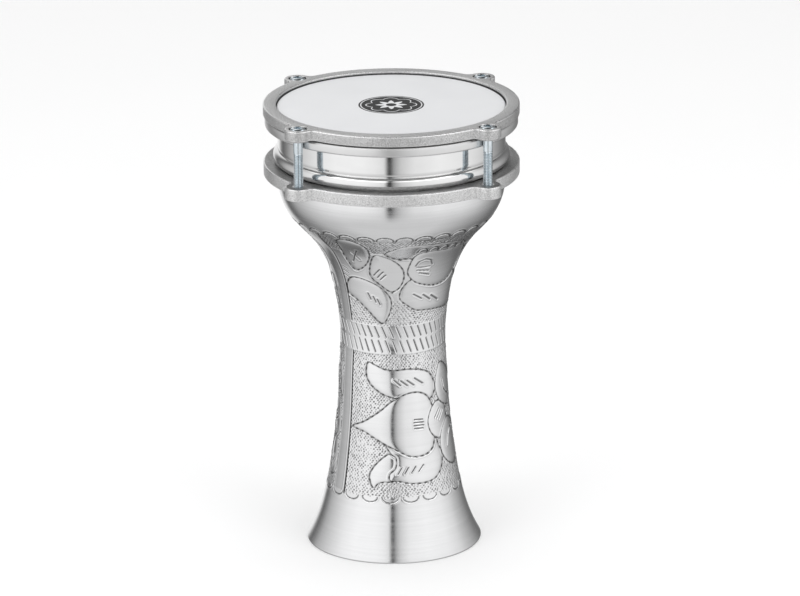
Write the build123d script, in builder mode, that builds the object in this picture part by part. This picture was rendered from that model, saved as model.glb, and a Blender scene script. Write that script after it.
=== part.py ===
from build123d import *

import os
from math import cos, radians, sin

# A goblet drum (darbuka) of spun aluminium, standing on its open foot.
# Millimetres. +Z is up, and the origin is on the floor, in the middle of the foot.
# The head is a film on an aluminium hoop. A cast tension ring lies on the hoop and is drawn
# down by four screws, which thread into a cast backing ring held under the shell's bead.

# Driving dimensions of the shell
ring_top = 286.0
wall = 2.0
neck_radius = 71.2
foot_radius = 56.0
foot_round = 1.0
bead_bottom = 249.0
bead_top = 257.4
bead_radius = 74.0
bearing_round = 1.0

# The goblet's outer line below the neck, as radius and height: the bowl narrows to the waist
# and the stem widens again towards the foot.
goblet_points = [
    (68.1, 223.0),
    (58.4, 209.0),
    (51.7, 202.0),
    (46.7, 195.0),
    (39.9, 180.0),
    (35.5, 160.0),
    (33.2, 140.0),
    (33.8, 120.0),
    (36.3, 80.0),
    (38.8, 60.0),
    (45.2, 26.0),
]
bowl_top = 240.0
foot_slope = (0.6, -1.0)

# The head
film_depth = 1.8
film_thickness = 0.3
film_gap = 0.05
film_skirt = 1.5
moving_gap = 0.3

# The two cast rings, with a lug at each screw
ring_radius = 80.0
ring_height = 6.5
backing_height = 7.8
screw_circle = 82.4
screw_angles = [45, 135, 225, 315]
lug_radius = 8.3
pad_height = 0.8
pad_inset = 0.5
lug_fillet = 4.5

# The hoop that the film is crimped into
hoop_radius = 79.0
hoop_height = 7.0
hoop_top_round = 3.2
hoop_bottom_round = 1.0

# M6 x 40 button-head screws with a hexagon socket
screw_radius = 3.0
screw_length = 40.0
head_radius = 5.25
head_height = 3.3
head_round = 2.3
socket_across_flats = 4.0
socket_depth = 2.0
seat_depth = 2.8
seat_radius = 5.6
clearance_hole_radius = 3.3
thread_gap = 0.05
tip_chamfer = 0.8

film_top = ring_top - film_depth
bearing_edge = film_top - film_thickness - film_gap
film_radius = neck_radius + film_gap + film_thickness
ring_bore = film_radius + moving_gap
ring_bottom = ring_top - ring_height
hoop_bottom = ring_bottom - hoop_height
seat_height = ring_top - seat_depth


def outer_edge(turned, level):
    """The widest circle at the bottom (0) or the top (-1) of a turned piece."""
    circles = turned.edges().filter_by(GeomType.CIRCLE)
    return circles.group_by(Axis.Z)[level].sort_by(SortBy.RADIUS)[-1]


def ring_outline(bore_radius, top):
    """The plan of a cast ring: a band with a filleted lug at each screw."""
    with BuildSketch(Plane.XY.offset(top)) as outline:
        Circle(ring_radius)
        with PolarLocations(screw_circle, len(screw_angles), start_angle=screw_angles[0]):
            Circle(lug_radius)
        fillet(outline.vertices(), radius=lug_fillet)
        Circle(bore_radius, mode=Mode.SUBTRACT)
    return outline.sketch


def screw_places(height):
    """The four screw axes at a height."""
    return [
        Location((screw_circle * cos(radians(angle)), screw_circle * sin(radians(angle)), height))
        for angle in screw_angles
    ]


# Shell: the goblet is revolved solid, hollowed to its wall with both ends open, and given
# its bead round the neck.
with BuildPart() as shell:
    with BuildSketch(Plane.XZ):
        with BuildLine():
            neck = Line((neck_radius, bearing_edge), (neck_radius, bowl_top))
            goblet = Spline(
                neck @ 1,
                *goblet_points,
                (foot_radius, 0),
                tangents=[(0, -1), foot_slope],
                tangent_scalars=[1, 1],
            )
            Polyline(goblet @ 1, (0, 0), (0, bearing_edge), neck @ 0)
        make_face()
    revolve(axis=Axis.Z)
    offset(amount=-wall, openings=shell.faces().filter_by(GeomType.PLANE))
    with BuildSketch(Plane.XZ):
        with BuildLine():
            bead = ThreePointArc(
                (neck_radius, bead_bottom),
                (bead_radius, (bead_bottom + bead_top) / 2),
                (neck_radius, bead_top),
            )
            Polyline(
                bead @ 1,
                (neck_radius - wall / 2, bead_top),
                (neck_radius - wall / 2, bead_bottom),
                bead @ 0,
            )
        make_face()
    revolve(axis=Axis.Z)
    fillet(outer_edge(shell, -1), radius=bearing_round)
    fillet(outer_edge(shell, 0), radius=foot_round)
shell.part.label = "shell"

# Drum head: the film, stretched flat over the bearing edge with its rim turned down.
with BuildPart() as drum_head:
    with BuildSketch(Plane.XZ):
        with BuildLine():
            FilletPolyline(
                (0, film_top),
                (film_radius, film_top),
                (film_radius, film_top - film_thickness - film_skirt),
                radius=bearing_round + film_gap + film_thickness,
            )
            offset(amount=film_thickness, side=Side.RIGHT)
        make_face()
    revolve(axis=Axis.Z)
drum_head.part.label = "drum_head"

# Head hoop: the rolled aluminium ring that the film is crimped into.
with BuildPart() as head_hoop:
    with BuildSketch(Plane.XY.offset(hoop_bottom)):
        Circle(hoop_radius)
        Circle(ring_bore, mode=Mode.SUBTRACT)
    extrude(amount=hoop_height)
    fillet(outer_edge(head_hoop, -1), radius=hoop_top_round)
    fillet(outer_edge(head_hoop, 0), radius=hoop_bottom_round)
head_hoop.part.label = "head_hoop"

# Tension ring: a casting with counterbored lugs, and a shallow pad under each lug.
with BuildPart() as tension_ring:
    add(ring_outline(ring_bore, ring_top))
    extrude(amount=-ring_height)
    with BuildSketch(Plane.XY.offset(ring_bottom)):
        with Locations(*screw_places(0)):
            Circle(lug_radius - pad_inset)
        Circle(hoop_radius + moving_gap, mode=Mode.SUBTRACT)
    extrude(amount=-pad_height)
    with Locations(*screw_places(ring_top)):
        CounterBoreHole(clearance_hole_radius, seat_radius, seat_depth)
tension_ring.part.label = "tension_ring"

# Backing ring: the lower casting, which bears up against the shell's bead.
with BuildPart() as backing_ring:
    add(ring_outline(neck_radius + moving_gap, bead_bottom))
    extrude(amount=-backing_height)
    with Locations(*screw_places(bead_bottom)):
        Hole(screw_radius + thread_gap)
backing_ring.part.label = "backing_ring"

pieces = [shell, drum_head, head_hoop, tension_ring, backing_ring]

# Tension screws: the head lies in the tension ring's lug, the tip is in the backing ring's.
for number, place in enumerate(screw_places(seat_height), start=1):
    seat = Plane(place)
    with BuildPart() as screw:
        with BuildSketch(seat):
            Circle(screw_radius)
        extrude(amount=-screw_length)
        chamfer(screw.edges().group_by(Axis.Z)[0], length=tip_chamfer)
        with BuildSketch(seat):
            Circle(head_radius)
        extrude(amount=head_height)
        fillet(screw.edges().group_by(Axis.Z)[-1], radius=head_round)
        with BuildSketch(seat.offset(head_height)):
            RegularPolygon(socket_across_flats / 2, side_count=6, major_radius=False)
        extrude(amount=-socket_depth, mode=Mode.SUBTRACT)
    screw.part.label = f"tension_screw_{number}"
    pieces.append(screw)

os.makedirs("parts", exist_ok=True)
for piece in pieces:
    export_step(piece.part, f"parts/{piece.part.label}.step")
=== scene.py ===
"""The looks of a small engraved aluminium darbuka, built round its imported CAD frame.

Lengths are in millimetres until a mesh is made, and azimuths are in degrees: 0 is the front
of the drum (-Y) and +90 is its +X side.
"""

from math import acos, asin, atan2, cos, degrees, hypot, pi, radians, sin, tan

import bpy
import numpy as np
from mathutils import Matrix, Vector
from mathutils.geometry import tessellate_polygon


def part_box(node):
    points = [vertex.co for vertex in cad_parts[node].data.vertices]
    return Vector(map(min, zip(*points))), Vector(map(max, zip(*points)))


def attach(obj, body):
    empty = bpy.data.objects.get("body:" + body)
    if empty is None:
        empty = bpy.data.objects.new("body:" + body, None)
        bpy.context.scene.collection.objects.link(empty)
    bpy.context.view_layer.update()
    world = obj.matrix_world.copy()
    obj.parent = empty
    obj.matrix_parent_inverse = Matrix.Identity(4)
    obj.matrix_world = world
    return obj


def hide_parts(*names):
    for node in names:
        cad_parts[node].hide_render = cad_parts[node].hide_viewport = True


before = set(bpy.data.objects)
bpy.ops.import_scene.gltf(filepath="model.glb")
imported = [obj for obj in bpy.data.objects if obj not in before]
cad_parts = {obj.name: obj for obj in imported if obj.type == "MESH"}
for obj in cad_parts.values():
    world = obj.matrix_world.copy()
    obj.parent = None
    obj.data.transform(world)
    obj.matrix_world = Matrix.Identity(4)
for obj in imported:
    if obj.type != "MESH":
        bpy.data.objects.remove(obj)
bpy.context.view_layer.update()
MM = 0.001


def cad_heights(node):
    """The lowest and highest Z of a CAD node, in millimetres."""
    low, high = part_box(node)
    return low.z / MM, high.z / MM


# Heights that come from the frame
RING_TOP = cad_heights("tension_ring")[1]
BACKING_BOTTOM, BACKING_TOP = cad_heights("backing_ring")
HOOP_BOTTOM, HOOP_TOP = cad_heights("head_hoop")
FILM_BOTTOM, FILM_TOP = cad_heights("drum_head")
SHELL_TOP = cad_heights("shell")[1]
SCREW_TIP, SCREW_TOP = cad_heights("tension_screw_1")

# Radii and thicknesses, as in the CAD
RING_RADIUS = 80.0
HOOP_RADIUS = 79.0
BORE_RADIUS = 71.85
NECK_RADIUS = 71.2
FOOT_RADIUS = 56.0
WALL = 2.0
FILM_RADIUS = 71.55
FILM_THICKNESS = 0.3
FILM_BEND = 1.35

# The goblet's outer line, as height and radius from the foot to the neck
BOWL_TOP = 240.0
GOBLET = [
    (0.0, FOOT_RADIUS), (26.0, 45.2), (60.0, 38.8), (80.0, 36.3), (120.0, 33.8), (140.0, 33.2),
    (160.0, 35.5), (180.0, 39.9), (195.0, 46.7), (202.0, 51.7), (209.0, 58.4), (223.0, 68.1),
    (BOWL_TOP, NECK_RADIUS),
]
FOOT_SLOPE = -0.6
FOOT_ROUND = 1.0
BEAD_TOP = 257.4
BEAD_RADIUS = 74.0
SHELL_COLUMNS = 640

# The lugs of the two rings, and the shades of their faces
SCREW_CIRCLE = 82.4
SCREW_ANGLES = (45, 135, 225, 315)
LUG_RADIUS = 8.3
LUG_FILLET = 4.5
SEAT_DEPTH = 2.8
PAD_RADIUS = 7.6
PAD_HEIGHT = 0.8
PAD_INNER_RADIUS = 78.6
ROUNDING_STEPS = 5
# The underside slot holds painted shade: a near-black tone on the undersides and down the bores
# and holes, where the rings shade them
SIDE, PAINTED_SHADE, TOP, RUBBED_EDGE_HIGHLIGHT = range(4)

# The M6 button-head screws
SCREW_SEAT = RING_TOP - SEAT_DEPTH
THREAD_TOP = 270.7
THREAD_PITCH = 1.0
THREAD_DEPTH = 0.62
SHANK_RADIUS = 3.0
TIP_RADIUS = 2.2
HEAD_RADIUS = 5.25
HEAD_ROUND = 2.3
SOCKET_HALF_WIDTH = 2.0


# ---------------------------------------------------------------- meshes


def new_piece(name, mesh, body, materials, node=None):
    """Links a mesh as a piece that rides on a body and may replace a node."""
    piece = bpy.data.objects.new(name, mesh)
    bpy.context.scene.collection.objects.link(piece)
    for material in materials:
        mesh.materials.append(material)
    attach(piece, body)
    if node:
        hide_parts(node)
    return piece


def grid_mesh(name, points, closed_section):
    """A mesh of quads from rows of points; each row is a closed loop of columns.

    A closed section joins the last row to the first, and an open one gets a fan at each end.
    """
    rows, columns, _ = points.shape
    index = np.arange(rows * columns).reshape(rows, columns)
    below = index if closed_section else index[:-1]
    above = np.roll(index, -1, axis=0) if closed_section else index[1:]
    quads = np.stack(
        [below, np.roll(below, -1, axis=1), np.roll(above, -1, axis=1), above], axis=-1
    )
    faces = quads.reshape(-1, 4).tolist()
    vertices = points.reshape(-1, 3)
    if not closed_section:
        ends = points[[0, -1]].mean(axis=1)
        vertices = np.concatenate([vertices, ends])
        first, last = rows * columns, rows * columns + 1
        for a, b in zip(index[0], np.roll(index[0], -1)):
            faces.append([int(b), int(a), first])
        for a, b in zip(index[-1], np.roll(index[-1], -1)):
            faces.append([int(a), int(b), last])
    mesh = bpy.data.meshes.new(name)
    mesh.from_pydata((vertices * MM).tolist(), [], faces)
    mesh.shade_smooth()
    return mesh


def turned(section, columns):
    """Rows of points from a section of (radius, height), revolved about Z."""
    around = np.radians(np.linspace(-180, 180, columns, endpoint=False))
    section = np.asarray(section, float)
    radius, height = section[:, :1], section[:, 1:]
    return np.stack(
        [radius * np.sin(around), -radius * np.cos(around), height + 0 * around], axis=-1
    )


def arc(centre, radius, start, stop, steps):
    """Points of a circular arc, with its angles in degrees from +X."""
    return [
        (centre[0] + radius * cos(radians(a)), centre[1] + radius * sin(radians(a)))
        for a in np.linspace(start, stop, steps + 1)
    ]


def line(start, stop, steps):
    """Points from start to stop, without the first."""
    return [
        tuple(np.asarray(start) + (np.asarray(stop) - np.asarray(start)) * k / steps)
        for k in range(1, steps + 1)
    ]


# ---------------------------------------------------------------- goblet


def clamped_spline(points, first_slope, last_slope):
    """The smooth curve y(x) through points, with given end slopes, as a function."""
    x, y = np.array(points, float).T
    gap = np.diff(x)
    rise = np.diff(y) / gap
    count = len(x)
    matrix = np.zeros((count, count))
    target = np.zeros(count)
    matrix[0, :2] = 2 * gap[0], gap[0]
    target[0] = 6 * (rise[0] - first_slope)
    matrix[-1, -2:] = gap[-1], 2 * gap[-1]
    target[-1] = 6 * (last_slope - rise[-1])
    for k in range(1, count - 1):
        matrix[k, k - 1 : k + 2] = gap[k - 1], 2 * (gap[k - 1] + gap[k]), gap[k]
        target[k] = 6 * (rise[k] - rise[k - 1])
    bend = np.linalg.solve(matrix, target)

    def curve(at):
        at = np.asarray(at, float)
        k = np.clip(np.searchsorted(x, at) - 1, 0, count - 2)
        a, b = (x[k + 1] - at) / gap[k], (at - x[k]) / gap[k]
        blend = (a**3 - a) * bend[k] + (b**3 - b) * bend[k + 1]
        return a * y[k] + b * y[k + 1] + blend * gap[k] ** 2 / 6

    return curve


goblet_radius = clamped_spline(GOBLET, FOOT_SLOPE, 0.0)
line_heights = np.linspace(0, BOWL_TOP, 4801)
line_runs = np.hypot(np.diff(line_heights), np.diff(goblet_radius(line_heights)))
line_lengths = np.concatenate([[0], np.cumsum(line_runs)])


def along(height):
    """The distance from the foot along the goblet's outer line."""
    return np.interp(height, line_heights, line_lengths)


# ---------------------------------------------------------------- engraving

# The rows of the mesh that carry the engraving, and the depth of each kind of cut
ENGRAVED_LOW, ENGRAVED_HIGH = 33.0, 219.5
ROW_STEP = 0.40
GROUND_DEPTH = 0.12
GROOVE_DEPTH, GROOVE_WIDTH = 0.72, 1.35
SHOULDER_DEPTH, SHOULDER_REACH = 0.62, 1.9
TICK_DEPTH, TICK_WIDTH = 0.70, 1.35
PIT_DEPTH, PIT_RADIUS = 0.50, 0.76
LIP_HEIGHT, LIP_SPREAD = 0.24, 0.45
CHASE_STEP = 4.2

# Its layout: bands of height with a punched ground, and the plain strip beside each panel
LOWER_REGISTER = (39.5, 131.0)
UPPER_REGISTERS = [(150.5, 167.0), (202.5, 213.5)]
PANEL_TURNS = (0.0, 180.0)
STRIP = (-65.0, -49.5)
# How much darker the plain strips' colour is made
STRIP_DARKENING = 0.2
STRIP_RUNS = [(38.5, 130.5), (151.0, 213.0)]
STRIP_LINE_WIDTHS = (1.1, 1.7)

# Leaves of one panel, from the lowest layer to the highest: outline points as
# (azimuth, height), and the tick marks inside.
LOWER_LEAVES = [
    # the long leaf over the round petal
    (
        [(-29, 125), (-30.5, 117), (-25, 111), (-14, 106), (-4, 103.5), (10, 102), (30, 102),
         (42, 100), (49, 106), (46, 112.5), (38, 118), (20, 121), (-6, 121), (-19, 123.5)],
        [((0, 114.5), (7, 110.8)), ((7, 114), (14.5, 110.6)), ((14, 114), (21.5, 110.6)),
         ((22.5, 115), (32, 111))],
    ),
    # the small leaf at the lower left
    (
        [(-23.5, 53), (-20, 58), (-15, 62), (-10, 65), (-4, 67), (6, 65), (10, 60), (8, 54),
         (-1, 49.6), (-10, 49), (-15, 48), (-19, 45), (-22, 48)],
        [],
    ),
    # the crescent under the round petal
    (
        [(-8, 73), (-3.5, 67), (1.5, 64), (1, 58), (-4.5, 54), (-4, 50), (4, 49.5), (18, 47.5),
         (37, 48), (48, 53), (52.5, 61), (49, 68), (44, 74), (25, 70), (6, 72)],
        [((3, 54), (6.5, 57.8)), ((9.5, 54.2), (13, 58)), ((16, 54.5), (20, 58.2)),
         ((23, 54.8), (28, 58.6))],
    ),
    # the spear that swells into the round petal
    (
        [(-46, 82), (-32, 86.5), (-15, 94), (-5, 99.5), (3, 102.5), (11, 104.8), (20, 105.8),
         (29, 105), (37, 102), (43, 96), (45, 87), (45, 78), (42, 70), (36, 66), (25, 64.3),
         (14, 65.2), (4, 68.5), (-8, 72.5), (-20, 76.5), (-32, 80)],
        [((21, 88), (30, 87.6)), ((20.5, 86.1), (31, 85.7)), ((20.5, 84.2), (31, 83.8)),
         ((21, 82.3), (30, 81.9))],
    ),
    # the oval with slanting ticks
    (
        [(51, 97), (43.5, 94), (38.5, 89), (37, 83.5), (41, 77), (50, 73), (60, 74.5), (66, 80),
         (68, 88), (62, 95)],
        [((46, 86.5), (53, 91.5)), ((49, 85.5), (56, 90.5)), ((52, 84.5), (59, 89.5))],
    ),
    # the leaf at the upper right, with a line inside it
    (
        [(60, 121), (53.5, 116), (50, 109.5), (50.5, 103), (56, 96.5), (68, 92), (80, 91),
         (92, 94), (100, 99), (90, 108), (74, 117)],
        [((62, 109), (65, 103)), ((65, 103), (72, 99)), ((72, 99), (82, 97))],
    ),
    # the leaf at the lower right
    (
        [(70, 83.5), (61, 80.5), (54.5, 75.5), (51.5, 68), (55, 60), (65, 54), (78, 53),
         (90, 60), (92, 70), (84, 79)],
        [((62, 66), (66, 72)), ((66, 72), (72, 76)), ((72, 76), (79, 76))],
    ),
    # leaves that fill the panel's far side
    (
        [(78, 90.5), (84, 83), (94, 76), (106, 70), (113, 78), (110, 89), (98, 95), (86, 94)],
        [((94, 84), (101, 87)), ((96, 82), (103, 85)), ((98, 80), (105, 83))],
    ),
    (
        [(94, 64), (95, 55), (102, 46), (111, 48), (113, 58), (109, 68), (101, 71)],
        [((101, 53), (106, 58)), ((104, 51), (109, 56))],
    ),
    (
        [(84, 122), (92, 112), (102, 103), (112, 98), (113, 112), (106, 122), (95, 126)],
        [((97, 114), (103, 118)), ((99, 111), (106, 115.5)), ((102, 108.5), (108, 112.5))],
    ),
]
UPPER_LEAVES = [
    # the band over the great oval
    (
        [(-6, 202), (0, 206), (7, 208.8), (20, 209), (38, 208.3), (50, 206.3), (61, 201.5),
         (50, 197), (25, 197), (10, 198), (2, 198)],
        [],
    ),
    # the leaf that points down
    (
        [(-12.5, 151.8), (-5, 157), (-2, 164.5), (-4.5, 171), (-14, 177.5), (-28, 181.5),
         (-40, 181.5), (-48, 176), (-48.5, 170), (-38, 166), (-27, 160)],
        [((-25, 172), (-22.5, 168)), ((-20, 170), (-17.5, 166.2)), ((-16, 168.2), (-13.5, 164.6))],
    ),
    # the crescent under the great oval
    (
        [(6, 169), (13, 164.3), (23, 160.2), (36, 159), (52, 158), (72, 157), (88, 160),
         (92, 168), (82, 176), (64, 182), (40, 182), (20, 183), (9, 177)],
        [((19.5, 171.2), (28.5, 167.6)), ((30, 170), (39, 165.9)), ((39.5, 168.6), (50, 164.3))],
    ),
    # the great oval with the half moon
    (
        [(12.5, 186), (13, 193), (17, 200.5), (27, 202.3), (42, 201.5), (56, 201), (67, 198),
         (73, 188), (68, 180), (56, 176), (42, 175.3), (30, 177), (19, 180.3)],
        [((19.5, 190.6), (31, 190.2)), ((20, 188.4), (31, 187.2)), ((22.5, 186.2), (32.5, 184))],
    ),
    # the round petal with three ticks
    (
        [(-14, 200.5), (-6, 199.5), (2, 195.3), (8, 189), (9, 182.5), (6, 177), (0, 173.8),
         (-5, 174.5), (-12, 178.5), (-19, 183), (-20, 189)],
        [((-17, 185.3), (-11.5, 189.8)), ((-14, 183.8), (-8.5, 188.2)),
         ((-11.5, 182.3), (-6.5, 186))],
    ),
    # the small petal with a cross mark
    (
        [(-36, 211), (-38.5, 203), (-38.5, 195), (-34, 188), (-26, 190), (-19.5, 196),
         (-17, 203.5), (-20, 209.5), (-28, 212.5)],
        [((-32.5, 194.5), (-25.5, 204)), ((-30.5, 202), (-26, 196.5))],
    ),
    # leaves that fill the panel's far side
    (
        [(79, 206), (77, 196), (82, 185), (91, 178.5), (101, 181), (108, 190), (107, 202),
         (94, 209)],
        [((86, 190), (93, 194)), ((88, 187.5), (96, 191.5)), ((91, 185), (99, 189))],
    ),
    (
        [(93, 174.5), (96, 163), (104, 155), (112, 159), (113, 170), (106, 178)],
        [((99, 165), (105, 168)), ((101, 162.5), (107, 165.5))],
    ),
]
HALF_MOON = [(18, 191.8), (20, 195), (25, 196.6), (30, 195.3), (33, 191.6)]
ROPE_ARCHES = [(20, 204.8), (28, 205), (36, 204.8), (44, 204.2), (51.5, 203)]
STRIP_MARKS = [
    ((-48, 183), (-43, 181.5)), ((-47, 186), (-42, 184.5)), ((-46, 189), (-41.5, 187.5)),
]


def closed_curve(points, steps=8):
    """A closed Catmull-Rom curve through points."""
    p = np.array(points, float)
    before, after, beyond = np.roll(p, 1, 0), np.roll(p, -1, 0), np.roll(p, -2, 0)
    t = np.linspace(0, 1, steps, endpoint=False)[:, None, None]
    curve = 0.5 * (
        2 * p
        + (after - before) * t
        + (2 * before - 5 * p + 4 * after - beyond) * t**2
        + (3 * p - before - 3 * after + beyond) * t**3
    )
    return curve.transpose(1, 0, 2).reshape(-1, 2)


def flat(points, scale):
    """(azimuth, height) points as millimetres on the unrolled surface."""
    points = np.asarray(points, float)
    return np.stack([points[..., 0] * scale, along(points[..., 1])], axis=-1)


def distance_to(where, path):
    """Each place's distance from a path of straight runs, and how far along it is."""
    best = np.full(where.shape[:-1], 1e9)
    travelled = np.zeros_like(best)
    start = 0.0
    for a, b in zip(path[:-1], path[1:]):
        run = b - a
        length = max(hypot(*run), 1e-6)
        t = np.clip(((where - a) @ run) / length**2, 0, 1)
        gap = where - a - t[..., None] * run
        distance = np.hypot(gap[..., 0], gap[..., 1])
        nearer = distance < best
        best = np.where(nearer, distance, best)
        travelled = np.where(nearer, start + t * length, travelled)
        start += length
    return best, travelled


def chased(travelled):
    """How hard the tool bit at each point of a line that was struck blow by blow."""
    return 0.77 + 0.23 * np.cos(2 * pi * travelled / CHASE_STEP)


def inside(where, path):
    """Whether each place lies inside a closed path."""
    x, y = where[..., 0], where[..., 1]
    result = np.zeros(x.shape, bool)
    for (ax, ay), (bx, by) in zip(path, np.roll(path, -1, 0)):
        if ay != by:
            crosses = (ay > y) != (by > y)
            result ^= crosses & (x < (bx - ax) * (y - ay) / (by - ay) + ax)
    return result


def groove(distance, width):
    """The round bottom of a groove: 1 on its line and 0 half a width away."""
    return np.clip(1 - (2 * distance / width) ** 2, 0, 1) ** 1.5


def fade(value, low, high):
    """A smooth step from 0 at low to 1 at high."""
    t = np.clip((value - low) / (high - low), 0, 1)
    return t * t * (3 - 2 * t)


class Relief:
    """The depth cut into the goblet, on a grid of heights and azimuths."""

    def __init__(self, heights, azimuths):
        self.heights, self.azimuths = heights, azimuths
        self.cut = np.zeros((len(heights), len(azimuths)))
        self.ground = np.zeros_like(self.cut)
        self.dirt = np.zeros_like(self.cut)
        self.lip = np.zeros_like(self.cut)

    def window(self, points, margin, turn):
        """The grid's rows and columns round some points, and those places unrolled."""
        azimuth, height = np.asarray(points, float).T
        scale = radians(1) * float(goblet_radius(height.mean()))
        reach = margin / scale
        offset = (self.azimuths - azimuth.mean() - turn + 180) % 360 - 180
        half = (azimuth.max() - azimuth.min()) / 2 + reach + abs(
            azimuth.mean() - (azimuth.max() + azimuth.min()) / 2
        )
        columns = np.where(np.abs(offset) <= half)[0]
        rows = np.where(
            (self.heights > height.min() - margin) & (self.heights < height.max() + margin)
        )[0]
        places = np.stack(
            [
                np.broadcast_to((offset[columns] + azimuth.mean()) * scale,
                                (len(rows), len(columns))),
                np.broadcast_to(along(self.heights[rows])[:, None], (len(rows), len(columns))),
            ],
            axis=-1,
        )
        return np.ix_(rows, columns), places, scale

    def stroke(self, points, width, depth, turn=0.0, dirt=0.82, lip=0.7):
        """Cuts a groove along a path of straight runs."""
        cells, places, scale = self.window(points, width, turn)
        distance, _ = distance_to(places, flat(points, scale))
        self.mark(cells, depth * groove(distance, width),
                  dirt * fade(groove(distance, 0.9 * width), 0.1, 0.7))
        self.raise_lip(cells, distance, width, lip)

    def mark(self, cells, cut, dirt):
        """Deepens some cells to a cut, and darkens them."""
        self.cut[cells] = np.maximum(self.cut[cells], cut)
        self.dirt[cells] = np.maximum(self.dirt[cells], dirt)

    def raise_lip(self, cells, distance, width, share):
        """Raises the metal that a cut pushed up along its edges."""
        lip = share * LIP_HEIGHT * np.exp(-(((distance - 0.72 * width) / LIP_SPREAD) ** 2))
        self.lip[cells] = np.maximum(self.lip[cells], lip)

    def leaf(self, outline, turn):
        """Lays a plain leaf over what is there, raised in the middle and outlined."""
        curve = closed_curve(outline)
        cells, places, scale = self.window(curve, 2 * GROOVE_WIDTH, turn)
        path = flat(curve, scale)
        distance, travelled = distance_to(places, np.concatenate([path, path[:1]]))
        within = inside(places, path)
        self.cut[cells] = np.where(within, 0, self.cut[cells])
        self.dirt[cells] = np.where(within, 0, self.dirt[cells])
        self.lip[cells] = np.where(within, 0, self.lip[cells])
        self.raise_lip(cells, np.where(within, np.inf, distance), GROOVE_WIDTH, 1.0)
        bite = chased(travelled)
        shoulder = np.where(within, SHOULDER_DEPTH * np.exp(-distance / SHOULDER_REACH), 0)
        cut = np.maximum(GROOVE_DEPTH * bite * groove(distance, GROOVE_WIDTH), shoulder)
        self.mark(cells, cut, bite * fade(groove(distance, GROOVE_WIDTH), 0.1, 0.6))
        clear = np.where(within, 0.0, fade(distance, 0.2, 0.7))
        self.ground[cells] = np.minimum(self.ground[cells], clear)

    def punch(self, band, step, row_step, seed):
        """Punches staggered rows of round pits wherever the ground is bare."""
        rows = np.where((self.heights > band[0]) & (self.heights < band[1]))[0]
        radius = goblet_radius(self.heights[rows])[:, None]
        across = np.broadcast_to(self.azimuths / step, (len(rows), len(self.azimuths)))
        up = np.broadcast_to(along(self.heights[rows])[:, None] / row_step, across.shape)
        chance = np.random.default_rng(seed)
        count = int(round(360 / step))
        cycle = 512
        shift = chance.uniform(-0.16, 0.16, (cycle, count, 2))
        depth = chance.uniform(0.45, 1.0, (cycle, count))
        pits = np.zeros_like(across)
        for row_offset in (-1, 0, 1):
            row = np.floor(up).astype(int) + row_offset
            stagger = 0.5 * (row % 2)
            for column_offset in (-1, 0, 1):
                column = np.floor(across - stagger).astype(int) + column_offset
                key = (row % cycle, column % count)
                dx = across - (column + 0.5 + stagger + shift[key][..., 0])
                dy = up - (row + 0.5 + shift[key][..., 1])
                gap = np.hypot(dx * step * radians(1) * radius, dy * row_step)
                pit = depth[key] * np.clip(1 - (gap / PIT_RADIUS) ** 2, 0, 1)
                np.maximum(pits, pit, out=pits)
        ground = self.ground[rows]
        cut = ground * (GROUND_DEPTH + PIT_DEPTH * pits)
        self.mark(rows, cut, 0.88 * ground * fade(pits, 0.32, 0.74))


def repeat_round(relief, points, step, first, width, depth, dirt, lip):
    """Cuts the same path all the way round, a step of azimuth apart."""
    for k in range(int(round(360 / step))):
        path = [(a + first + k * step, h) for a, h in points]
        relief.stroke(path, width, depth, dirt=dirt, lip=lip)


def bow(half_width, base, height, steps=12):
    """A half ellipse over (or under, with a negative height) a base line."""
    return [
        (half_width * cos(t), base + height * sin(t)) for t in np.linspace(0, pi, steps + 1)
    ]


# Marks that go all the way round: the path, its step and first azimuth, then the cut's width,
# depth, dirt and share of lip. The arches are low and high; the dashes are two rows between.
ROUNDS = [
    (bow(6.9, 39.3, -3.1), 18.0, -58.0, 1.1, 0.5, 0.85, 0.7),
    (bow(4.9, 213.6, 3.2), 11.25, -5.0, 1.25, 0.55, 1.0, 0.7),
    ([(-2.3, 149.2), (2.3, 142.4)], 7.826, -2.5, 1.15, 0.6, 0.9, 0.15),
    ([(-2.3, 140.0), (2.3, 132.6)], 7.826, 1.2, 1.15, 0.6, 0.9, 0.15),
]


def bare_ground(relief):
    """Marks the registers as ground, with the plain strips left out and darkened."""
    height = relief.heights[:, None]
    for low, high in (LOWER_REGISTER, *UPPER_REGISTERS):
        band = fade(height, low - 0.4, low + 0.4) * (1 - fade(height, high - 0.4, high + 0.4))
        relief.ground = np.maximum(relief.ground, np.broadcast_to(band, relief.ground.shape))
    middle, half = sum(STRIP) / 2, (STRIP[1] - STRIP[0]) / 2
    for turn in PANEL_TURNS:
        offset = np.abs((relief.azimuths - middle - turn + 180) % 360 - 180)
        outside = fade(offset, half - 0.3, half + 0.3)
        relief.ground *= outside
        for low, high in (LOWER_REGISTER, (UPPER_REGISTERS[0][0], UPPER_REGISTERS[1][1])):
            relief.dirt += STRIP_DARKENING * (1 - outside) * ((height > low) & (height < high))


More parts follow.
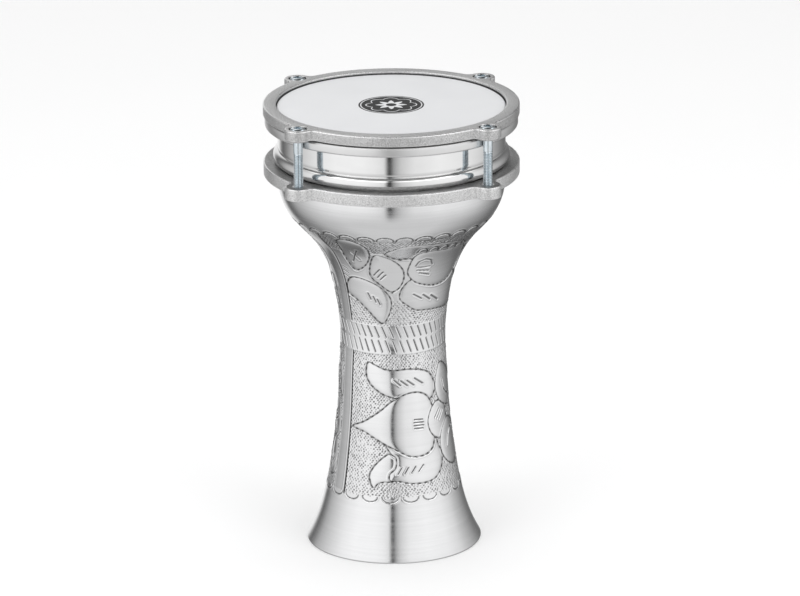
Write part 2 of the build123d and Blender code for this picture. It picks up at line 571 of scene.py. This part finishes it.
def engrave(heights, azimuths):
    """The whole engraving: its depth and its dirt for each height and azimuth."""
    relief = Relief(heights, azimuths)
    bare_ground(relief)
    for turn in PANEL_TURNS:
        for outline, ticks in LOWER_LEAVES + UPPER_LEAVES:
            relief.leaf(outline, turn)
            for start, stop in ticks:
                relief.stroke([start, stop], TICK_WIDTH, TICK_DEPTH, turn)
        relief.stroke(HALF_MOON, 1.4, 0.45, turn, 0.8)
        for azimuth, height in ROPE_ARCHES:
            arch = [(a + azimuth, h + height) for a, h in bow(3.4, -1.8, 3.2)]
            relief.stroke(arch, 1.3, 0.5, turn, 1.0)
        for start, stop in STRIP_MARKS:
            relief.stroke([start, stop], 1.0, 0.4, turn)
        for azimuth, width in zip(STRIP, STRIP_LINE_WIDTHS):
            for low, high in STRIP_RUNS:
                relief.stroke([(azimuth, low), (azimuth, high)], width, 0.6, turn, 1.0)
    low, mid, high = LOWER_REGISTER, *UPPER_REGISTERS
    relief.punch((low[0] - 2, low[1] + 1), step=10 / 3, row_step=1.22, seed=11)
    relief.punch((mid[0] - 1, mid[1] + 1), step=3.75, row_step=1.5, seed=12)
    relief.punch((high[0] - 1, high[1] + 1), step=2.25, row_step=1.3, seed=13)
    for path, step, first, width, depth, dirt, lip in ROUNDS:
        repeat_round(relief, path, step, first, width, depth, dirt, lip)
    return relief.cut - relief.lip, relief.dirt


# ---------------------------------------------------------------- shell


def goblet_wall(heights, azimuths):
    """Rows of the engraved outside, cut along the surface's normal, and how dirty they are."""
    radius = goblet_radius(heights)
    slope = np.gradient(radius, heights)
    facing = 1 / np.hypot(1, slope)
    cut, dirt = engrave(heights, azimuths)
    cut_radius = radius[:, None] - cut * facing[:, None]
    cut_height = heights[:, None] + cut * (slope * facing)[:, None]
    around = np.radians(azimuths)
    rows = [cut_radius * np.sin(around), -cut_radius * np.cos(around), cut_height]
    return np.stack(rows, axis=-1), dirt


def neck_section():
    """The polished outside above the bowl: the bead, a fine groove and the bearing edge."""
    half = (BEAD_TOP - BACKING_TOP) / 2
    bulge = BEAD_RADIUS - NECK_RADIUS
    curve = (half**2 + bulge**2) / (2 * bulge)
    span = degrees(asin(half / curve))
    neck = [(NECK_RADIUS, z) for z in np.linspace(241.5, BACKING_TOP, 5, endpoint=False)]
    neck += arc((BEAD_RADIUS - curve, BACKING_TOP + half), curve, -span, span, 20)
    neck += [
        (NECK_RADIUS - inset, BEAD_TOP + rise)
        for inset, rise in ((0.25, 0.15), (0.3, 0.45), (0.15, 0.7), (0, 1.0))
    ]
    neck += line(neck[-1], (NECK_RADIUS, SHELL_TOP - 1), 12)
    neck += arc((NECK_RADIUS - 1, SHELL_TOP - 1), 1.0, 0, 90, 6)[1:]
    neck += [(NECK_RADIUS - WALL + 0.3, SHELL_TOP), (NECK_RADIUS - WALL, SHELL_TOP - 0.3)]
    return neck


def lining_section():
    """The shell's inside, from the neck down to the foot."""
    down = np.linspace(BOWL_TOP - 1, 2, 44)
    slope = (goblet_radius(down + 0.1) - goblet_radius(down - 0.1)) / 0.2
    inner = goblet_radius(down) - WALL * np.hypot(1, slope)
    lining = [(NECK_RADIUS - WALL, z) for z in np.linspace(SHELL_TOP - 6, BOWL_TOP + 1, 8)]
    return lining + list(zip(inner, down)) + [(53.75, 0.35), (53.95, 0.0)]


def build_shell(materials):
    """The spun body: one closed wall with the engraving cut into its outside."""
    lean = atan2(-FOOT_SLOPE, 1)
    lip_centre = (FOOT_RADIUS - FOOT_ROUND / tan((pi / 2 - lean) / 2), FOOT_ROUND)
    foot = arc(lip_centre, FOOT_ROUND, -90, degrees(lean), 8)
    heights = np.concatenate([
        np.linspace(foot[-1][1] + 0.6, ENGRAVED_LOW, 26, endpoint=False),
        np.arange(ENGRAVED_LOW, ENGRAVED_HIGH, ROW_STEP),
        np.linspace(ENGRAVED_HIGH, BOWL_TOP, 16),
    ])
    azimuths = np.linspace(-180, 180, SHELL_COLUMNS, endpoint=False)
    wall, dirt = goblet_wall(heights, azimuths)
    neck = neck_section()
    rest = turned(neck + lining_section(), SHELL_COLUMNS)
    points = np.concatenate([turned(foot, SHELL_COLUMNS), wall, rest])
    mesh = grid_mesh("shell", points, closed_section=True)
    neck_start = len(foot) + len(wall)
    tarnish = np.zeros(points.shape[:2])
    tarnish[len(foot) : neck_start] = dirt
    mesh.attributes.new("tarnish", "FLOAT", "POINT").data.foreach_set("value", tarnish.ravel())
    polished = np.zeros((len(points), SHELL_COLUMNS), np.int32)
    polished[neck_start : neck_start + len(neck)] = 1
    mesh.polygons.foreach_set("material_index", polished.ravel())
    return new_piece("engraved_shell", mesh, "body", materials, "shell")


# ---------------------------------------------------------------- head


# The printed rosette, from its rim to its middle: each loop's radius, how far its scallops or
# its star's points stand out, and whether ink (1) or film (0) lies inside it
ROSETTE = [
    (20.5, 0, 0, 1), (19.4, 0, 0, 0), (18.7, 0, 0, 1), (13.0, 3.2, 0, 0), (12.3, 3.2, 0, 1),
    (4.6, 0, 5.4, 0), (3.3, 0, 0, 1), (1.6, 0, 0, 1),
]


def bent_edge(radius, start, stop, step):
    """The film's bend at its rim, at a radius about the bend's centre."""
    return [
        (FILM_RADIUS - FILM_BEND + radius * sin(radians(t)),
         FILM_TOP - FILM_BEND + radius * cos(radians(t)))
        for t in range(start, stop, step)
    ]


def film_rows(columns):
    """Rows of the film: its underside, its turned-down edge and its plain top."""
    rows = [(radius, FILM_TOP - FILM_THICKNESS) for radius in (20, 40, 60)]
    rows += bent_edge(FILM_BEND - FILM_THICKNESS, 0, 91, 15)
    rows += [(FILM_RADIUS - FILM_THICKNESS, FILM_BOTTOM), (FILM_RADIUS, FILM_BOTTOM)]
    rows += bent_edge(FILM_BEND, 90, -1, -10)
    rows += [(radius, FILM_TOP) for radius in (60, 40, 24)]
    return turned(rows, columns)


def rosette_rows(columns):
    """Rows of the rosette, in the film's top face."""
    azimuth = np.radians(np.linspace(-180, 180, columns, endpoint=False))
    scallop = np.abs(np.cos(4 * azimuth))
    tooth = np.abs((np.degrees(azimuth) / 45) % 1 - 0.5) * 2
    rows = []
    for radius, scalloped, toothed, _ in ROSETTE:
        loop = radius + scalloped * scallop + toothed * tooth
        rows.append(np.stack(
            [loop * np.sin(azimuth), -loop * np.cos(azimuth), FILM_TOP + 0 * azimuth], axis=-1
        ))
    return np.array(rows)


def build_film(materials):
    """The stretched film, with a plain rosette printed at its centre."""
    columns = 240
    plain = film_rows(columns)
    points = np.concatenate([plain, rosette_rows(columns)])
    mesh = grid_mesh("film", points, closed_section=False)
    piece = new_piece("drum_film", mesh, "body", materials, "drum_head")
    inks = [ink for *_, ink in ROSETTE]
    for k, ink in enumerate(inks[:-1], start=len(plain)):
        for face in mesh.polygons[k * columns : (k + 1) * columns]:
            face.material_index = ink
    for face in mesh.polygons[-columns:]:
        face.material_index = inks[-1]
    mesh.set_sharp_from_angle(angle=radians(50))
    return piece


def build_hoop(materials):
    """The rolled hoop that holds the film, rounded where it shows."""
    section = arc((72.65, HOOP_BOTTOM + 0.8), 0.8, 180, 270, 4)
    section += arc((HOOP_RADIUS - 1.2, HOOP_BOTTOM + 1.2), 1.2, -90, 0, 6)
    section += arc((HOOP_RADIUS - 3.2, HOOP_TOP - 3.2), 3.2, 0, 90, 14)
    section += arc((72.35, HOOP_TOP - 0.5), 0.5, 90, 180, 3)
    mesh = grid_mesh("hoop", turned(section, 360), closed_section=True)
    mesh.set_sharp_from_angle(angle=radians(50))
    return new_piece("film_hoop", mesh, "tension_ring", materials,
                     "head_hoop")


# ---------------------------------------------------------------- cast rings


class Skin:
    """A closed mesh put together from loops of points, bridges between them and flat caps."""

    def __init__(self):
        self.points, self.faces, self.caps, self.shades, self.cap_shades = [], [], [], [], []

    def loop(self, outline, height):
        """Adds a loop at a height and returns its point numbers."""
        start = len(self.points)
        self.points += [(x, y, height) for x, y in outline]
        return list(range(start, len(self.points)))

    def wall(self, outlines, shades):
        """Adds loops from (outline, height) pairs, with faces of given shades between them."""
        loops = [self.loop(outline, height) for outline, height in outlines]
        for a, b, shade in zip(loops[:-1], loops[1:], shades):
            for k in range(len(a)):
                n = (k + 1) % len(a)
                self.faces.append((a[k], a[n], b[n], b[k]))
                self.shades.append(shade)
        return loops[0], loops[-1]

    def cap(self, loops, upward):
        """Fills the flat area between an outer loop and the loops of its holes."""
        numbers = [number for loop in loops for number in loop]
        polylines = [[Vector(self.points[number]) for number in loop] for loop in loops]
        for corners in tessellate_polygon(polylines):
            a, b, c = (numbers[k] for k in corners)
            pa, pb, pc = (self.points[k] for k in (a, b, c))
            turn = (pb[0] - pa[0]) * (pc[1] - pa[1]) - (pb[1] - pa[1]) * (pc[0] - pa[0])
            self.caps.append((a, b, c) if (turn > 0) == upward else (a, c, b))
            # Caps that face down take the painted shade
            self.cap_shades.append(TOP if upward else PAINTED_SHADE)

    def mesh(self, name):
        """The mesh, with its caps shaded flat and its other faces smooth."""
        mesh = bpy.data.meshes.new(name)
        mesh.from_pydata((np.array(self.points) * MM).tolist(), [], self.faces + self.caps)
        mesh.shade_smooth()
        for face, shade in zip(mesh.polygons, self.shades + self.cap_shades):
            face.material_index = shade
        for face in mesh.polygons[len(self.faces) :]:
            face.use_smooth = False
        mesh.set_sharp_from_angle(angle=radians(40))
        return mesh


def circle(centre, radius, count):
    """The points of a full circle, anticlockwise."""
    return arc(centre, radius, 0, 360, count)[:-1]


def ring_outline(grown):
    """The plan of a cast ring with its lugs, grown outwards by a distance."""
    reach = RING_RADIUS + LUG_FILLET
    lug_reach = LUG_RADIUS + LUG_FILLET
    spread = acos((reach**2 + SCREW_CIRCLE**2 - lug_reach**2) / (2 * reach * SCREW_CIRCLE))
    swing = degrees(atan2(reach * sin(spread), reach * cos(spread) - SCREW_CIRCLE))
    spread = degrees(spread)
    band, lug, fillet = RING_RADIUS + grown, LUG_RADIUS + grown, LUG_FILLET - grown
    outline = []
    for angle in SCREW_ANGLES:
        before, after, screw = (
            polar(reach, angle - spread), polar(reach, angle + spread), polar(SCREW_CIRCLE, angle)
        )
        outline += arc((0, 0), band, angle - 90 + spread, angle - spread, 60)[:-1]
        outline += arc(before, fillet, angle - spread + 180, angle - swing + 180, 10)[:-1]
        outline += arc(screw, lug, angle - swing, angle + swing, 32)[:-1]
        outline += arc(after, fillet, angle + swing + 180, angle + spread + 180, 10)[:-1]
    return outline


def polar(radius, angle):
    """A point at a radius and an angle in degrees from +X."""
    return radius * cos(radians(angle)), radius * sin(radians(angle))


def rounded_edge(bottom, top, bottom_round, top_round):
    """(inset, height) pairs up a side that is rounded at both edges."""
    low = [
        (bottom_round * (1 - cos(t)), bottom + bottom_round * (1 - sin(t)))
        for t in np.linspace(pi / 2, 0, ROUNDING_STEPS + 1)
    ]
    high = [
        (top_round * (1 - cos(t)), top - top_round * (1 - sin(t)))
        for t in np.linspace(0, pi / 2, ROUNDING_STEPS + 1)
    ]
    return low + high


def lug_centres():
    """The screw axes in plan."""
    return [polar(SCREW_CIRCLE, angle) for angle in SCREW_ANGLES]


def cast_ring(bottom, top, bore, hole_walls, pads=False):
    """A cast ring: rounded outside and bore, with a stepped hole through each lug."""
    skin = Skin()
    # Rounded edges take a brighter tone as a painted highlight, and a smoother finish for real
    # rubbed wear
    rounding = ROUNDING_STEPS * [RUBBED_EDGE_HIGHLIGHT]
    side = [(ring_outline(-i), z) for i, z in rounded_edge(bottom, top, 0.5, 0.8)]
    low, high = skin.wall(side, rounding + [SIDE] + rounding)
    inner = rounded_edge(bottom, top, 0.5, 0.5)[::-1]
    inner.insert(ROUNDING_STEPS + 1, (0, top - 1.2))
    bore_wall = [(circle((0, 0), bore + i, 240), z) for i, z in inner]
    # The bore's lower wall takes the painted shade, its top rounding the brighter edge tone
    bore_high, bore_low = skin.wall(
        bore_wall, rounding + [SIDE] + (ROUNDING_STEPS + 1) * [PAINTED_SHADE]
    )
    highs, lows = [high, bore_high], [low, bore_low]
    for centre in lug_centres():
        hole = [(circle(centre, r, 48), z) for r, z in hole_walls]
        # Each hole: the painted highlight on its rim, painted shade down its walls
        hole_high, hole_low = skin.wall(hole, [RUBBED_EDGE_HIGHLIGHT] + (len(hole) - 2) * [PAINTED_SHADE])
        highs.append(hole_high)
        if pads:
            pad = [(pad_outline(centre, r), z) for r, z in
                   ((PAD_RADIUS - 0.3, bottom - PAD_HEIGHT), (PAD_RADIUS, bottom - 0.4),
                    (PAD_RADIUS, bottom))]
            pad_low, pad_high = skin.wall(pad, 2 * [SIDE])
            lows.append(pad_high)
            skin.cap([pad_low, hole_low], upward=False)
        else:
            lows.append(hole_low)
    skin.cap(highs, upward=True)
    skin.cap(lows, upward=False)
    return skin


def pad_outline(centre, radius):
    """The pad under a lug: a disc with its inner side cut to the ring's curve."""
    outline = []
    for x, y in circle(centre, radius, 64):
        stretch = max(1.0, PAD_INNER_RADIUS / hypot(x, y))
        outline.append((x * stretch, y * stretch))
    return outline


def build_rings(tension_materials, backing_materials):
    """The tension ring, with its counterbored lugs, and the plainer backing ring."""
    pad_bottom, tension_top = cad_heights("tension_ring")
    seat = tension_top - SEAT_DEPTH
    holes = [(5.9, tension_top), (5.6, tension_top - 0.3), (5.6, seat), (3.3, seat),
             (3.3, pad_bottom + 0.3), (3.5, pad_bottom)]
    skin = cast_ring(pad_bottom + PAD_HEIGHT, tension_top, BORE_RADIUS, holes, pads=True)
    new_piece("cast_tension_ring", skin.mesh("tension"), "tension_ring",
              tension_materials, "tension_ring")
    holes = [(3.9, BACKING_TOP), (3.15, BACKING_TOP - 0.8), (3.15, BACKING_BOTTOM + 0.5),
             (3.6, BACKING_BOTTOM)]
    skin = cast_ring(BACKING_BOTTOM, BACKING_TOP, NECK_RADIUS + 0.3, holes)
    new_piece("cast_backing_ring", skin.mesh("backing"), "body",
              backing_materials, "backing_ring")


# ---------------------------------------------------------------- screws


def screw_points(columns=48):
    """Rows of an M6 screw on the Z axis: chamfered tip, rolled thread, shank, head, socket."""
    azimuth = np.linspace(-180, 180, columns, endpoint=False)
    around = np.radians(azimuth)
    rows = []
    for z in np.arange(SCREW_TIP, THREAD_TOP, THREAD_PITCH / 8):
        phase = (z / THREAD_PITCH - azimuth / 360) % 1
        ridge = np.clip(1.35 * np.abs(2 * phase - 1) - 0.12, 0, 1)
        fading = min(1, (THREAD_TOP - z) / 1.2)
        radius = SHANK_RADIUS - THREAD_DEPTH * fading * (1 - ridge)
        rows.append((np.minimum(radius, TIP_RADIUS + (z - SCREW_TIP)), z))
    line_up = [
        (SHANK_RADIUS, THREAD_TOP + 0.1), (SHANK_RADIUS, SCREW_SEAT - 0.3),
        (SHANK_RADIUS + 0.3, SCREW_SEAT), (HEAD_RADIUS - 0.35, SCREW_SEAT),
        (HEAD_RADIUS, SCREW_SEAT + 0.3),
    ]
    line_up += arc((HEAD_RADIUS - HEAD_ROUND, SCREW_TOP - HEAD_ROUND), HEAD_ROUND, 0, 90, 10)
    line_up += [(2.62, SCREW_TOP), (2.5, SCREW_TOP - 0.12)]
    rows += [(r + 0 * around, z) for r, z in line_up]
    hexagon = SOCKET_HALF_WIDTH / np.cos(np.radians((azimuth % 60) - 30))
    rows += [(share * hexagon, SCREW_TOP - depth) for share, depth in
             ((1, 0.3), (1, 1.9), (0.85, 2.0), (0.3, 2.35))]
    return np.array([
        np.stack([r * np.sin(around), -r * np.cos(around), z + 0 * around], axis=-1)
        for r, z in rows
    ])


def build_screws(materials):
    """The four tension screws, each turned a little differently."""
    base = screw_points()
    for number, (x, y) in enumerate(lug_centres(), start=1):
        spin = radians(23 * number)
        points = base.copy()
        points[..., 0] = base[..., 0] * cos(spin) - base[..., 1] * sin(spin) + x
        points[..., 1] = base[..., 0] * sin(spin) + base[..., 1] * cos(spin) + y
        mesh = grid_mesh(f"screw_{number}", points, closed_section=False)
        piece = new_piece(f"hex_screw_{number}", mesh, f"screw_{number}",
                          materials, f"tension_screw_{number}")
        piece.data.set_sharp_from_angle(angle=radians(38))


# ---------------------------------------------------------------- materials


class Nodes:
    """A material, with short ways to add nodes to it and wire them."""

    def __init__(self, name, **values):
        self.material = bpy.data.materials.new(name)
        self.material.use_nodes = True
        self.tree = self.material.node_tree
        self.shader = self.tree.nodes["Principled BSDF"]
        for key, value in values.items():
            self.shader.inputs[key.replace("_", " ")].default_value = value

    def add(self, kind, **settings):
        """A node, with settings that are either its own or its inputs'."""
        node = self.tree.nodes.new(kind)
        for key, value in settings.items():
            if hasattr(node, key):
                setattr(node, key, value)
            else:
                node.inputs[key.replace("_", " ")].default_value = value
        return node

    def link(self, source, output, target, entry):
        """Wires one node's output to another's input."""
        self.tree.links.new(source.outputs[output], target.inputs[entry])

    def noise(self, scale, detail=3.0, rough=0.55):
        """Noise on object coordinates that have their own scale along each axis."""
        texture = self.add("ShaderNodeTexNoise", Scale=1.0, Detail=detail, Roughness=rough)
        mapping = self.add("ShaderNodeMapping", Scale=scale)
        self.link(self.add("ShaderNodeTexCoord"), "Object", mapping, "Vector")
        self.link(mapping, "Vector", texture, "Vector")
        return texture

    def spread(self, source, low, high):
        """A value from low to high over the middle of a noise."""
        node = self.add("ShaderNodeMapRange", From_Min=0.3, From_Max=0.7, To_Min=low, To_Max=high)
        self.link(source, "Fac", node, "Value")
        return node

    def colours(self, source, low, high, start=0.3, stop=0.7):
        """A colour from low to high over the middle of a noise."""
        ramp = self.add("ShaderNodeValToRGB")
        for element, position, colour in zip(ramp.color_ramp.elements, (start, stop), (low, high)):
            element.position = position
            element.color = (*colour, 1)
        self.link(source, "Fac", ramp, "Fac")
        return ramp

    def bump(self, source, distance, strength, under=None):
        """A bump map from a noise, laid over another one if given."""
        node = self.add("ShaderNodeBump", Strength=strength, Distance=distance)
        self.link(source, "Fac", node, "Height")
        if under:
            self.link(under, "Normal", node, "Normal")
        return node

    def finish(self, tone, rough=None, bump=None):
        """Wires the colour, and the roughness and bump if given, and returns the material."""
        output = "Color" if "Color" in tone.outputs else "Result"
        self.link(tone, output, self.shader, "Base Color")
        if rough:
            self.link(rough, "Result", self.shader, "Roughness")
        if bump:
            self.link(bump, "Normal", self.shader, "Normal")
        return self.material


def spun_aluminium():
    """Lathe-turned satin aluminium: fine lines round the body, tarnish in the cuts."""
    m = Nodes("spun_satin", Metallic=1.0)
    lines = m.noise((25, 25, 3200), 2.0)
    broad = m.noise((9, 9, 520), 4.0, 0.65)
    cloud = m.noise((18, 18, 18), 4.0)
    tarnish = m.add("ShaderNodeAttribute", attribute_name="tarnish")
    even = m.colours(cloud, (0.76, 0.762, 0.768), (0.82, 0.822, 0.828))
    bands = m.colours(broad, 3 * (0.94,), 3 * (1.0,))
    clean = m.add("ShaderNodeMix", data_type="RGBA", blend_type="MULTIPLY")
    clean.inputs["Factor"].default_value = 1.0
    m.link(even, "Color", clean, "A")
    m.link(bands, "Color", clean, "B")
    tone = m.add("ShaderNodeMix", data_type="RGBA")
    tone.inputs["B"].default_value = (0.035, 0.034, 0.034, 1)
    m.link(tarnish, "Fac", tone, "Factor")
    m.link(clean, "Result", tone, "A")
    lathe = m.bump(lines, 0.00002, 0.6)
    return m.finish(tone, m.spread(broad, 0.10, 0.17), m.bump(broad, 0.00003, 0.3, lathe))


def polished_aluminium(name, shade, roughness):
    """Bright turned aluminium of a given shade and gloss, with faint lathe lines."""
    m = Nodes(name, Metallic=1.0)
    lines = m.noise((12, 12, 2400), 2.0)
    smear = m.noise((45, 45, 90), 4.0)
    tone = m.colours(smear, 3 * (shade - 0.05,), 3 * (shade,))
    rough = m.spread(smear, roughness, roughness + 0.06)
    return m.finish(tone, rough, m.bump(lines, 0.000012, 0.5))


def cast_aluminium(name, low, high, smooth=0.0):
    """Sand-cast aluminium with a fine grain, between two tones; smooth is for rubbed edges."""
    m = Nodes(name, Metallic=1.0)
    grain = m.noise((1500, 1500, 1500), 3.0, 0.6)
    pits = m.noise((420, 420, 420))
    cloud = m.noise((60, 60, 60))
    tone = m.colours(grain, 3 * (low,), 3 * (high,), 0.32, 0.68)
    rough = m.spread(cloud, 0.38 - smooth, 0.54 - smooth)
    return m.finish(tone, rough, m.bump(grain, 0.00012, 0.8, m.bump(pits, 0.0003, 0.5)))


def zinc_steel():
    """Bright zinc plate with a cool tint and small handling marks."""
    m = Nodes("zinc_plate", Metallic=1.0)
    marks = m.noise((700, 700, 300), 4.0)
    tone = m.colours(marks, (0.56, 0.62, 0.66), (0.72, 0.77, 0.80))
    return m.finish(tone, m.spread(marks, 0.07, 0.15), m.bump(marks, 0.00001, 0.4))


def film_plastic(name, low, high, roughness, gloss):
    """Matt-coated polyester film, or the ink on it, with a faint mottle."""
    m = Nodes(name, IOR=1.55, Specular_IOR_Level=gloss)
    mottle = m.noise((900, 900, 900))
    cloud = m.noise((22, 22, 22))
    rough = m.spread(cloud, roughness - 0.04, roughness + 0.04)
    return m.finish(m.colours(cloud, low, high), rough, m.bump(mottle, 0.00002, 0.5))


def floor_material():
    """A plain pale sweep."""
    m = Nodes("pale_floor", Roughness=0.7)
    return m.finish(m.colours(m.noise((2, 2, 2), 2.0), 3 * (0.90,), 3 * (0.91,)))


# ---------------------------------------------------------------- studio


CAMERA_AZIMUTH, CAMERA_ELEVATION, CAMERA_ROLL = -0.9, 17.8, -0.36
CAMERA_DISTANCE = 3.7
CAMERA_LENS, CAMERA_SENSOR = 264.3, 36
CAMERA_AIM = 0.0047, 0.0142


def build_camera():
    """The camera: a long lens from in front, a little above and slightly rolled."""
    azimuth, elevation = radians(CAMERA_AZIMUTH), radians(CAMERA_ELEVATION)
    middle = Vector((0, 0, 0.143))
    back = Vector((sin(azimuth) * cos(elevation), -cos(azimuth) * cos(elevation), sin(elevation)))
    right = Vector((cos(azimuth), sin(azimuth), 0))
    aim = middle + CAMERA_AIM[0] * right + CAMERA_AIM[1] * back.cross(right)
    place = middle + CAMERA_DISTANCE * back
    data = bpy.data.cameras.new("camera")
    data.sensor_width, data.lens = CAMERA_SENSOR, CAMERA_LENS
    camera = bpy.data.objects.new("camera", data)
    bpy.context.scene.collection.objects.link(camera)
    look = (aim - place).to_track_quat("-Z", "Y").to_matrix().to_4x4()
    roll = Matrix.Rotation(radians(CAMERA_ROLL), 4, "Z")
    camera.matrix_world = Matrix.Translation(place) @ look @ roll
    bpy.context.scene.camera = camera


def softbox(name, place, aim, width, height, power):
    """A white rectangular area light."""
    data = bpy.data.lights.new(name, "AREA")
    data.shape = "RECTANGLE"
    data.size, data.size_y, data.energy = width, height, power
    light = bpy.data.objects.new(name, data)
    bpy.context.scene.collection.objects.link(light)
    light.location = place
    light.rotation_mode = "QUATERNION"
    light.rotation_quaternion = (Vector(aim) - Vector(place)).to_track_quat("-Z", "Y")
    light.visible_camera = light.visible_glossy = False


# Brightness of the studio as the metal sees it, by the angle round from the front: a narrow
# dark gap between two broad soft lights, dark flags at the sides, and a pale backdrop.
SURROUND = [
    (-180, 0.6), (-172, 1.0), (-158, 0.85), (-151, 0.35), (-144, 0.14), (-134, 0.26),
    (-124, 0.48), (-112, 0.64), (-96, 0.82), (-80, 1.0), (-60, 1.12), (-30, 1.12),
    (-18, 1.04), (-8, 0.92), (-6, 0.40), (-4.5, 0.03), (-2, 0.04), (1, 0.40),
    (8, 0.72), (22, 0.98), (50, 1.08), (80, 1.0), (100, 0.82), (112, 0.62),
    (128, 0.42), (144, 0.24), (158, 0.16), (168, 0.24), (180, 0.45),
]
# The same for what lies below, where the gap is lost
SURROUND_BELOW = [
    (-180, 0.36), (-150, 0.20), (-128, 0.34), (-100, 0.66), (-60, 0.88), (0, 0.86),
    (60, 0.88), (90, 0.68), (120, 0.42), (150, 0.14), (180, 0.36),
]
# The same by height, as (sine of the elevation, brightness): the floor, the lights, a dark roof
RISE = [
    (-1.0, 0.84), (-0.85, 0.84), (-0.5, 0.86), (-0.3, 1.0), (0.3, 1.05), (0.64, 1.05),
    (0.70, 1.9), (0.82, 1.9), (0.88, 0.22), (1.0, 0.10),
]
# Sines of the elevation between which SURROUND gives way to SURROUND_BELOW
BELOW_START, BELOW_END = -0.4, -0.76
# The brightest value that a ramp can hold, and the world's brightness outside reflections
RAMP_TOP = 2.0
OPEN_BRIGHTNESS = 0.92


def brightness_ramp(tree, stops, low, high, source):
    """A brightness, over RAMP_TOP, from (value, brightness) stops at the value of a socket."""
    place = tree.nodes.new("ShaderNodeMapRange")
    place.inputs["From Min"].default_value = low
    place.inputs["From Max"].default_value = high
    tree.links.new(source, place.inputs["Value"])
    ramp = tree.nodes.new("ShaderNodeValToRGB")
    elements = ramp.color_ramp.elements
    while len(elements) < len(stops):
        elements.new(0.5)
    for element, (value, brightness) in zip(elements, stops):
        element.position = (value - low) / (high - low)
        element.color = (brightness / RAMP_TOP,) * 3 + (1,)
    tree.links.new(place.outputs["Result"], ramp.inputs["Fac"])
    return ramp.outputs["Color"]


def build_world():
    """A pale world whose soft lights and dark gaps show in the metal."""
    world = bpy.data.worlds.new("studio")
    bpy.context.scene.world = world
    world.use_nodes = True
    world.cycles.sampling_method = "NONE"
    tree = world.node_tree
    background = tree.nodes["Background"]
    background.inputs["Color"].default_value = (1, 1, 1, 1)

    def maths(operation, first, second):
        node = tree.nodes.new("ShaderNodeMath")
        node.operation = operation
        for entry, value in zip(node.inputs, (first, second)):
            if isinstance(value, float):
                entry.default_value = value
            else:
                tree.links.new(value, entry)
        return node.outputs[0]

    way = tree.nodes.new("ShaderNodeSeparateXYZ")
    tree.links.new(tree.nodes.new("ShaderNodeTexCoord").outputs["Generated"], way.inputs[0])
    turn = maths("ARCTAN2", way.outputs["X"], maths("MULTIPLY", way.outputs["Y"], -1.0))
    turn = maths("MULTIPLY", turn, 180 / pi)
    around = brightness_ramp(tree, SURROUND, -180, 180, turn)
    beneath = brightness_ramp(tree, SURROUND_BELOW, -180, 180, turn)
    upward = brightness_ramp(tree, RISE, -1, 1, way.outputs["Z"])
    below = tree.nodes.new("ShaderNodeMapRange")
    below.interpolation_type = "SMOOTHSTEP"
    below.inputs["From Min"].default_value = BELOW_START
    below.inputs["From Max"].default_value = BELOW_END
    tree.links.new(way.outputs["Z"], below.inputs["Value"])
    kept = maths("SUBTRACT", 1.0, below.outputs["Result"])
    level = maths("ADD", maths("MULTIPLY", around, kept),
                  maths("MULTIPLY", beneath, below.outputs["Result"]))
    seen = maths("MULTIPLY", maths("MULTIPLY", level, upward), RAMP_TOP**2)
    glossy = tree.nodes.new("ShaderNodeLightPath").outputs["Is Glossy Ray"]
    plain = maths("MULTIPLY", maths("SUBTRACT", 1.0, glossy), OPEN_BRIGHTNESS)
    strength = maths("ADD", maths("MULTIPLY", seen, glossy), plain)
    tree.links.new(strength, background.inputs["Strength"])


def build_floor():
    """A wide pale floor that the metal doesn't reflect."""
    mesh = bpy.data.meshes.new("floor")
    mesh.from_pydata([(-6, -6, 0), (6, -6, 0), (6, 6, 0), (-6, 6, 0)], [], [(0, 1, 2, 3)])
    mesh.materials.append(floor_material())
    floor = bpy.data.objects.new("floor", mesh)
    bpy.context.scene.collection.objects.link(floor)
    floor.visible_glossy = False


def build_studio():
    """The world, the floor and the lights."""
    build_world()
    build_floor()
    softbox("left_box", (-1.1, -1.1, 0.9), (0, 0, 0.15), 1.0, 1.4, 7)
    softbox("right_box", (1.1, -1.1, 0.9), (0, 0, 0.15), 1.0, 1.4, 7)
    softbox("top_box", (0, 0.4, 1.8), (0, 0, 0.2), 1.4, 1.4, 6)
    bpy.context.scene.view_settings.view_transform = "Standard"


# ---------------------------------------------------------------- the scene

build_camera()
build_studio()
build_shell([spun_aluminium(), polished_aluminium("polished_neck", 0.79, 0.06)])
build_film([
    film_plastic("film_white", (0.63, 0.636, 0.648), (0.66, 0.666, 0.678), 0.42, 0.5),
    film_plastic("film_ink", (0.010, 0.010, 0.011), (0.014, 0.014, 0.015), 0.38, 0.12),
])
build_hoop([polished_aluminium("polished_hoop", 0.72, 0.29)])
# Painted shade: a near-black cast tone for the faces under and inside the rings
underside = cast_aluminium("cast_painted_shade", 0.05, 0.14)
# Rubbed edges: smoother, as worn metal is, and brightened with a painted highlight
edge = cast_aluminium("cast_rubbed_edge_highlight", 0.66, 0.92, smooth=0.18)
build_rings(
    # Lit and shaded copies of one cast metal: the darker side is painted shade, the lighter top
    # painted light
    [cast_aluminium("cast_tension_side_painted_shade", 0.36, 0.72), underside,
     cast_aluminium("cast_tension_top_painted_light", 0.44, 0.86), edge],
    # The backing ring's top is a darker copy of its side: painted shade for the shadow of the
    # tension ring above it
    [cast_aluminium("cast_backing_side", 0.46, 0.84), underside,
     cast_aluminium("cast_backing_top_painted_shade", 0.24, 0.52), edge],
)
build_screws([zinc_steel()])
